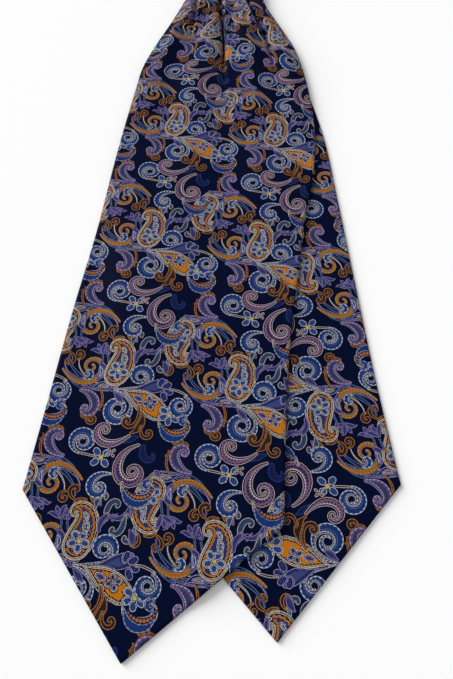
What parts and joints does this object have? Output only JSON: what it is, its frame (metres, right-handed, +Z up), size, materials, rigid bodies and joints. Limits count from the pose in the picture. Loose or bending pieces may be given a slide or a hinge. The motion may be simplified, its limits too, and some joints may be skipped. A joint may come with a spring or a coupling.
{
  "type": "silk cravat",
  "caption": "Day cravat of printed silk with wide pointed blades and a pleated neckband, laid flat and folded in half so that one blade lies over the other.",
  "frame": {"origin": "on the surface it lies on, at the middle of its outline", "axes": "+Y up the cravat from the points of its blades to the turn of the neckband, +X to the right, +Z up off the surface"},
  "size_m": [0.2094, 0.6666, 0.0088],
  "materials": {
    "printed_silk": "printed twill silk, soft sheen"
  },
  "bodies": {
    "root": {"front_blade": "printed_silk", "back_blade": "printed_silk", "neckband_front": "printed_silk", "neckband_back": "printed_silk", "neckband_fold": "printed_silk"}
  },
  "joints": []
}
